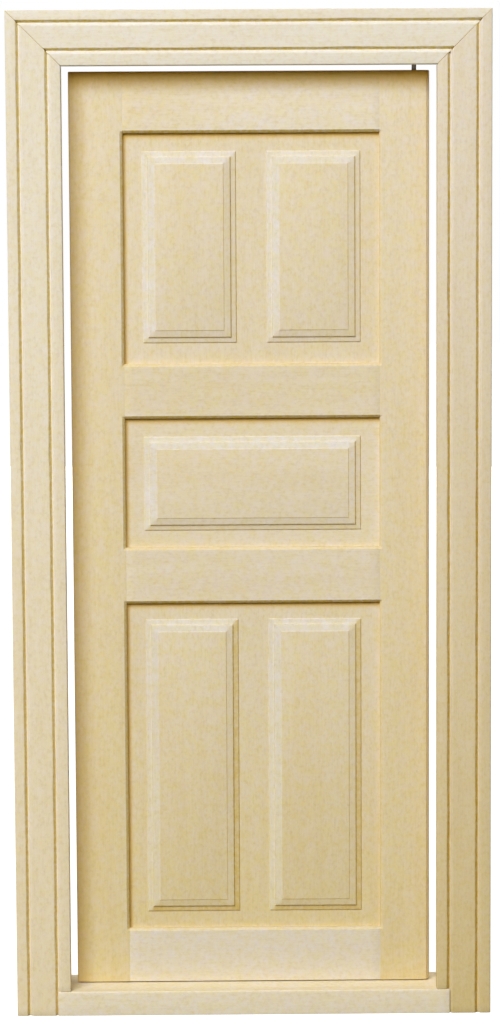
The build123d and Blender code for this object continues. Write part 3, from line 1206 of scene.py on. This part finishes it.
@dataclass
class RaisedPanel:
    """A panel with raised fields side by side on both faces.

    Attributes:
        node: The CAD node that it stands for.
        fields: How many fields it has.
        end_margins: Ground below and above the fields.
        margin: Ground beside the outermost fields.
        spacing: Ground between two fields.
        ground: Thickness of the ground.
        tongue: How far it reaches into the grooves round it.
        knots: Distances in from a field's edge, and the rise above the ground at each.
        freshness_and_highlight: How pale the bevels are, from a clean cut and painted highlight.
        ledge_shade_and_fuzz: How torn the ledges of the right and lower sides are, with painted shade
            there.
        torn_shaded_steps: Distances in at which fibres are torn, with painted shade, and how strong
            that is there.
        tear_reach: How far the tearing reaches to each side.
        least_tear: Wood that is torn less than this counts as clean.
        cut: Distances in at which the cutter's marks start, the ledge ends and the bevel ends.
        shaded_side_highlight: Share of the paleness and painted highlight that the right and lower
            sides, which face away from the lamp, have.
        left_painted_shade: How far painted shade reaches beside the left edge, where the stile casts
            its shadow, and how strongly.
        top_painted_shade: The same below the top edge, in the rail's shadow.
        same: Heights that differ by less than this, in millimetres, count as equal.
    """

    node: str
    fields: int
    end_margins: tuple[float, float]
    margin: float = 3.7
    spacing: float = 5.95
    ground: float = 1.6
    tongue: float = 1.6
    knots: tuple[tuple[float, float], ...] = (
        (-0.40, 0.0),
        (-0.16, 0.0),
        (-0.04, 0.0),
        (0.02, 0.17),
        (0.10, 0.22),
        (0.20, 0.24),
        (0.90, 0.31),
        (0.99, 0.33),
        (1.06, 0.60),
        (1.14, 0.65),
        (1.30, 0.68),
        (2.22, 0.84),
        (2.31, 0.86),
        (2.39, 0.93),
        (2.50, 0.95),
    )
    freshness_and_highlight: float = 0.8
    ledge_shade_and_fuzz: float = 0.0
    torn_shaded_steps: tuple[tuple[float, float], ...] = ((-0.01, 0.8), (1.03, 1.2), (2.35, 0.7))
    tear_reach: float = 0.07
    least_tear: float = 0.05
    cut: tuple[float, float, float] = (-0.1, 1.1, 2.4)
    shaded_side_highlight: float = 0.3
    left_painted_shade: tuple[float, float] = (1.1, 0.8)
    top_painted_shade: tuple[float, float] = (-1.6, 1.0)
    same: float = 1e-6

    def shape(self) -> Shape:
        """Works out both faces as one height over a grid, and the edge that joins them.

        The height over a point is the profile at its distance in from the edge of its field, where
        the distance is the smaller of those along x and along z. The grid's lines run through the
        profile's knots, and a cell whose corners aren't in one plane is cut along its steeper
        diagonal, which is the mitre.

        Returns:
            The surface.
        """
        room = Room.of(self.node)
        inset, rise = np.array(self.knots).T
        left, right = room.low[0] + self.tongue, room.high[0] - self.tongue
        foot, top = room.low[2] + self.tongue, room.high[2] - self.tongue
        width = (right - left - 2 * self.margin - (self.fields - 1) * self.spacing) / self.fields
        starts = left + self.margin + (width + self.spacing) * np.arange(self.fields)
        spans = np.stack([starts, starts + width], -1)
        z_span = np.array([foot + self.end_margins[0], top - self.end_margins[1]])
        x = np.concatenate([(spans[:, :1] + inset).ravel(), (spans[:, 1:] - inset).ravel()])
        z = np.concatenate([z_span[0] + inset, z_span[1] - inset])
        x = np.unique(np.round(np.concatenate([[room.low[0], left, right, room.high[0]], x]), 6))
        z = np.unique(np.round(np.concatenate([[room.low[2], foot, top, room.high[2]], z]), 6))
        in_x = np.max(np.minimum(x[:, None] - spans[:, 0], spans[:, 1] - x[:, None]), axis=1)
        in_z = np.minimum(z - z_span[0], z_span[1] - z)
        inward = np.minimum(in_x[:, None], in_z[None, :])
        lift = np.interp(inward, inset, rise)
        middle = (room.low[1] + room.high[1]) / 2
        half = self.ground / 2 + lift
        gx, gz = np.meshgrid(x, z, indexing="ij")
        front = np.stack([gx, middle - half, gz], -1)
        back = np.stack([gx, middle + half, gz], -1)
        ids = np.arange(gx.size).reshape(gx.shape)
        a, b, c, d = ids[:-1, :-1], ids[1:, :-1], ids[1:, 1:], ids[:-1, 1:]
        flat = lift.ravel()
        bend = np.abs(flat[a] - flat[b] + flat[c] - flat[d]) > self.same
        rising = np.abs(flat[a] - flat[c]) >= np.abs(flat[b] - flat[d])
        cells = [np.stack([a, b, c, d], -1)[~bend]]
        for pick, first, second in (
            (bend & rising, (a, b, c), (a, c, d)),
            (bend & ~rising, (a, b, d), (b, c, d)),
        ):
            cells += [np.stack(first, -1)[pick], np.stack(second, -1)[pick]]
        faces = [tuple(face) for group in cells for face in group.tolist()]
        other = gx.size
        faces += [tuple(corner + other for corner in reversed(face)) for face in faces]
        rim = np.concatenate([ids[:-1, 0], ids[-1, :-1], ids[:0:-1, -1], ids[0, :0:-1]])
        ahead = np.roll(rim, -1)
        sides = np.stack([ahead, rim, rim + other, ahead + other], -1)
        faces += [tuple(side) for side in sides.tolist()]
        fuzz_and_shading = self.marks(x, z, spans, z_span, inward).ravel()
        points = np.vstack([front.reshape(-1, 3), back.reshape(-1, 3)])
        return Shape(points, faces, np.concatenate([fuzz_and_shading, fuzz_and_shading]), np.zeros(len(faces)))

    def marks(self, x: Array, z: Array, spans: Array, z_span: Array, inward: Array) -> Array:
        """How torn or freshly cut the wood is over the grid, with painted shade and painted
        highlight.

        The profile is freshly cut and carries painted highlight on the left and upper sides, which
        face the lamp, and hardly on the right and lower ones, where the cutter left torn fibres in
        the steps and painted shade lies. Those are the sides whose points are nearer to the right and
        lower edges of their field than to its left and upper ones. A step's fibres are torn, with
        painted shade, by its weight times exp(-((inward - place) / reach)^2).

        Args:
            x: The grid's places along x.
            z: The grid's places along z.
            spans: Left and right edge of each field.
            z_span: Lower and upper edge of the fields.
            inward: Distance in from the edge of its field, for each point of the grid.

        Returns:
            A value for each point of the grid, above 0 where torn with painted shade and below 0
            where freshly cut with painted highlight.
        """
        to_left = np.abs(x[:, None] - spans[:, 0]).min(axis=1)
        to_right = np.abs(x[:, None] - spans[:, 1]).min(axis=1)
        near_left = np.minimum(to_left[:, None], np.abs(z_span[1] - z)[None, :])
        near_right = np.minimum(to_right[:, None], np.abs(z - z_span[0])[None, :])
        steps = sum(
            weight * np.exp(-(((inward - at) / self.tear_reach) ** 2)) for at, weight in self.torn_shaded_steps
        )
        rough_side = near_right < near_left
        start, ledge_end, bevel_end = self.cut
        ledge = self.ledge_shade_and_fuzz * ((inward > start) & (inward < ledge_end))
        # Torn marks with painted shade go on the right and lower sides, which face away from the
        # lamp; painted highlight goes mostly on the left and upper sides.
        torn = np.maximum(steps, ledge) * rough_side
        pale = np.where(rough_side, self.shaded_side_highlight, 1.0) * self.freshness_and_highlight
        fresh_and_highlight = pale * ((inward > start) & (inward < bevel_end))
        return np.where(torn > self.least_tear, torn, -fresh_and_highlight)

    def build(self, near: Tone, far: Tone, seed: int) -> None:
        """Makes and dresses the panel, whose grain runs along its longer way.

        Args:
            near: Shade at its foot or left end.
            far: Shade at its top or right end.
            seed: Fixes its figure.
        """
        room = Room.of(self.node)
        run = Run.UPRIGHT if self.fields > 1 else Run.LYING
        axis = 2 if run is Run.UPRIGHT else 0
        ends = (room.low[axis], room.high[axis])
        left, top = room.low[0] + self.tongue, room.high[2] - self.tongue
        edges = ((0, left, *self.left_painted_shade), (2, top, *self.top_painted_shade))
        face_at = (room.low[1] + room.high[1] - self.ground) / 2
        finish = Basswood(run, near, far, ends, seed, edges, face_at=face_at)
        dress(self.shape(), self.node, "leaf", finish)


@dataclass
class HingePins:
    """The two headed wire pins that the leaf turns on.

    Attributes:
        head_thickness: Thickness of a pin's head.
        shank: Radius of the wire.
        point: Length of the tapered point.
        tip: Radius of the blunted tip.
        rounding: How far the head's arrises are rounded.
        sides: Flat sides round the wire.
    """

    head_thickness: float = 0.4
    shank: float = 0.45
    point: float = 1.3
    tip: float = 0.12
    rounding: float = 0.06
    sides: int = 32

    def pin(self, node: str, way: int) -> Shape:
        """A pin as radius over height, turned round its axis.

        Args:
            node: The CAD node that it stands for.
            way: 1 if its point looks up, or -1 if it looks down.

        Returns:
            The surface.
        """
        room = Room.of(node)
        head = (room.high[0] - room.low[0]) / 2
        length = room.high[2] - room.low[2]
        profile = np.array(
            [
                (0.0, 0.02),
                (0.6 * head, 0.0),
                (head - self.rounding, 0.03),
                (head, 0.1),
                (head, self.head_thickness - self.rounding),
                (head - self.rounding, self.head_thickness),
                (self.shank, self.head_thickness),
                (self.shank, length - self.point),
                (self.tip, length - 0.05),
                (0.0, length),
            ]
        )
        radius, height = profile[1:-1].T
        turn = np.linspace(0, 2 * np.pi, self.sides, endpoint=False)
        x0, y0 = (room.low[:2] + room.high[:2]) / 2
        z0 = room.low[2] if way > 0 else room.high[2]
        x = x0 + radius[:, None] * np.cos(turn)
        y = y0 + radius[:, None] * np.sin(turn) * way
        z = z0 + way * np.broadcast_to(height[:, None], x.shape)
        tips = np.array([[x0, y0, z0 + way * profile[0, 1]], [x0, y0, z0 + way * profile[-1, 1]]])
        points = np.vstack([np.stack([x, y, z], -1).reshape(-1, 3), tips])
        ids = np.arange(x.size).reshape(x.shape)
        ahead = np.roll(ids, -1, axis=1)
        quads = np.stack([ids[:-1], ahead[:-1], ahead[1:], ids[1:]], -1).reshape(-1, 4)
        low = np.stack([np.full(self.sides, x.size), ahead[0], ids[0]], -1)
        high = np.stack([ids[-1], ahead[-1], np.full(self.sides, x.size + 1)], -1)
        faces = [tuple(face) for group in (quads, low, high) for face in group.tolist()]
        return Shape(points, faces, np.zeros(len(points)), np.zeros(len(faces)))

    def build(self) -> None:
        """Makes and dresses both pins."""
        for node, way in (("top_hinge_pin", -1), ("bottom_hinge_pin", 1)):
            dress(self.pin(node, way), node, "leaf", DrawnWire())


@dataclass
class Studio:
    """The camera, the lamps, the white surroundings and the floor.

    Attributes:
        lens: Focal length for a 36 mm sensor along the picture's long side.
        eye: The camera's place, in metres.
        yaw: Degrees that the camera is turned to the right.
        pitch: Degrees that it looks down.
        roll: Degrees that it is rolled.
        middle: The point that the lamps face, in metres.
        key_way: The way from there to the big soft lamp at the upper left.
        key_distance: How many times that way it is off.
        key_size: Its width and height, in metres.
        key_power: Its watts.
        key_colour: Its colour.
        back_at: Place of the lamp that lights the background and the back, in metres.
        back_size: Its width and height, in metres.
        back_power: Its watts.
        back_colour: Its colour.
        fill: Strength of the surroundings' own light.
        fill_colour: Its colour.
        floor_reach: Half the floor's width, in metres.
        floor_drop: How far it lies below the object's foot, in metres.
        floor_grey: Its colour near the object.
        floor_matt: How much of the lamps' light it adds to that.
        floor_bounce: How much it throws back onto the object.
        floor_fade: Distances from the object over which it turns white, in metres.
    """

    lens: float = 106.76
    eye: Place = (-0.00493, -0.58613, 0.15543)
    yaw: float = 0.46
    pitch: float = 5.637
    roll: float = -0.317
    middle: Place = (0.0, -0.004, 0.097)
    key_way: Place = (-0.288, -0.792, 0.538)
    key_distance: float = 1.25
    key_size: tuple[float, float] = (1.1, 0.75)
    key_power: float = 20.5
    key_colour: Colour = (0.985, 1.0, 1.05)
    back_at: Place = (0.1, 1.2, 0.35)
    back_size: tuple[float, float] = (2.2, 1.2)
    back_power: float = 20.0
    back_colour: Colour = (1.0, 0.99, 0.97)
    fill: float = 0.05
    fill_colour: Colour = (1.0, 0.80, 0.45)
    floor_reach: float = 3.0
    floor_drop: float = 1e-5
    floor_grey: Colour = (0.86, 0.86, 0.86)
    floor_matt: Colour = (0.5, 0.5, 0.5)
    floor_bounce: Colour = (0.10, 0.09, 0.075)
    floor_fade: tuple[float, float] = (0.4, 0.9)

    def camera(self) -> None:
        """Places the camera: columns of its matrix are its right, up and backward directions."""
        data = bpy.data.cameras.new("camera")
        data.sensor_width = 36.0
        data.lens = self.lens
        data.clip_start, data.clip_end = 0.01, 100.0
        made = placed("camera", data)
        yaw, pitch, roll = (math.radians(x) for x in (self.yaw, self.pitch, self.roll))
        forward = Vector(
            (math.sin(yaw) * math.cos(pitch), math.cos(yaw) * math.cos(pitch), -math.sin(pitch))
        )
        level = Vector((math.cos(yaw), -math.sin(yaw), 0.0))
        rise = level.cross(forward)
        right = math.cos(roll) * level + math.sin(roll) * rise
        up = -math.sin(roll) * level + math.cos(roll) * rise
        turn = Matrix((right, up, -forward)).transposed()
        made.matrix_world = Matrix.Translation(self.eye) @ turn.to_4x4()
        bpy.context.scene.camera = made

    @staticmethod
    def lamp(
        name: str,
        place: Vector,
        aim: Vector,
        size: tuple[float, float],
        power: float,
        colour: Colour,
    ) -> None:
        """Adds a soft rectangular lamp that the camera doesn't see.

        Args:
            name: Its name.
            place: Where it is, in metres.
            aim: The point that it faces.
            size: Its width and height, in metres.
            power: Its watts.
            colour: Its colour.
        """
        data = bpy.data.lights.new(name, "AREA")
        data.shape = "RECTANGLE"
        data.size, data.size_y = size
        data.energy = power
        data.color = colour
        made = placed(name, data)
        made.location = place
        made.rotation_euler = (aim - place).to_track_quat("-Z", "Y").to_euler()
        made.visible_camera = False

    def lamps(self) -> None:
        """A large soft lamp from the upper left of the front, and a broad one behind."""
        middle, back = Vector(self.middle), Vector(self.back_at)
        key = middle + Vector(self.key_way) * self.key_distance
        self.lamp("key", key, middle, self.key_size, self.key_power, self.key_colour)
        self.lamp("back", back, middle, self.back_size, self.back_power, self.back_colour)

    def surroundings(self) -> None:
        """A world that looks white and lights faintly."""
        world = bpy.data.worlds.new("studio")
        bpy.context.scene.world = world
        world.use_nodes = True
        desk = NodeDesk(world.node_tree)
        seen = self.seen(desk)
        dim = desk.node("ShaderNodeBackground", {}, {0: (*self.fill_colour, 1.0), 1: self.fill})
        white = desk.node("ShaderNodeBackground", {}, {0: (*WHITE, 1.0), 1: 1.0})
        both = desk.node("ShaderNodeMixShader", {}, {0: seen, 1: dim, 2: white})
        desk.node("ShaderNodeOutputWorld", {}, {"Surface": both})

    @staticmethod
    def seen(desk: NodeDesk) -> Wire:
        """Tells a look at a surface from the light that it gives.

        Args:
            desk: Where the nodes go.

        Returns:
            1 for what is looked at directly, in a reflection or through glass, or else 0.
        """
        path = desk.node("ShaderNodeLightPath", {}, {}, "Is Camera Ray")
        outputs = path.socket.node.outputs
        glossy = Wire(desk, outputs["Is Glossy Ray"])
        through = Wire(desk, outputs["Is Transmission Ray"])
        return (path + glossy + through).ramp(0.0, 1.0)

    def floor(self) -> None:
        """A plain pale floor, white to the camera except in the object's shadow."""
        side = np.array([-self.floor_reach, self.floor_reach])
        gx, gy = np.meshgrid(side, side, indexing="ij")
        points = np.stack([gx.ravel(), gy.ravel(), np.full(gx.size, -self.floor_drop)], -1)
        mesh = bpy.data.meshes.new("floor")
        mesh.from_pydata(points.tolist(), [], [(0, 2, 3, 1)])
        made = placed("floor", mesh)
        paint, desk = blank("floor_paint")
        seen = self.seen(desk)
        lengthen = {"operation": "LENGTH"}
        away = desk.node("ShaderNodeVectorMath", lengthen, {0: desk.spot()}, "Value")
        matt = desk.node("ShaderNodeBsdfDiffuse", {}, {0: (*self.floor_matt, 1.0)})
        colour = desk.blend(away.ramp(*self.floor_fade), self.floor_grey, WHITE)
        glow = desk.node("ShaderNodeEmission", {}, {0: colour, 1: 1.0})
        white = desk.node("ShaderNodeAddShader", {}, {0: matt, 1: glow})
        dim = desk.node("ShaderNodeBsdfDiffuse", {}, {0: (*self.floor_bounce, 1.0)})
        both = desk.node("ShaderNodeMixShader", {}, {0: seen, 1: dim, 2: white})
        desk.node("ShaderNodeOutputMaterial", {}, {"Surface": both})
        mesh.materials.append(paint)

    def build(self) -> None:
        """Sets up everything round the object."""
        bpy.context.scene.view_settings.view_transform = "Standard"
        self.camera()
        self.lamps()
        self.surroundings()
        self.floor()


def main() -> None:
    """Builds the object piece by piece, then the studio."""
    logging.basicConfig(level=logging.INFO, format="%(message)s")
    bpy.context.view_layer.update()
    Casing().build()
    JambBox().build()
    Leaf().build()
    RaisedPanel("upper_panel", 2, (4.1, 3.5)).build(Tone.CREAM, Tone.CREAM, 41)
    RaisedPanel("middle_panel", 1, (3.3, 3.6), ledge_shade_and_fuzz=0.25).build(Tone.CREAM, Tone.ROSY, 42)
    RaisedPanel("lower_panel", 2, (3.25, 3.25), ledge_shade_and_fuzz=0.55).build(Tone.STRAW, Tone.CREAM, 43)
    HingePins().build()
    Studio().build()


if __name__ == "__main__":
    main()
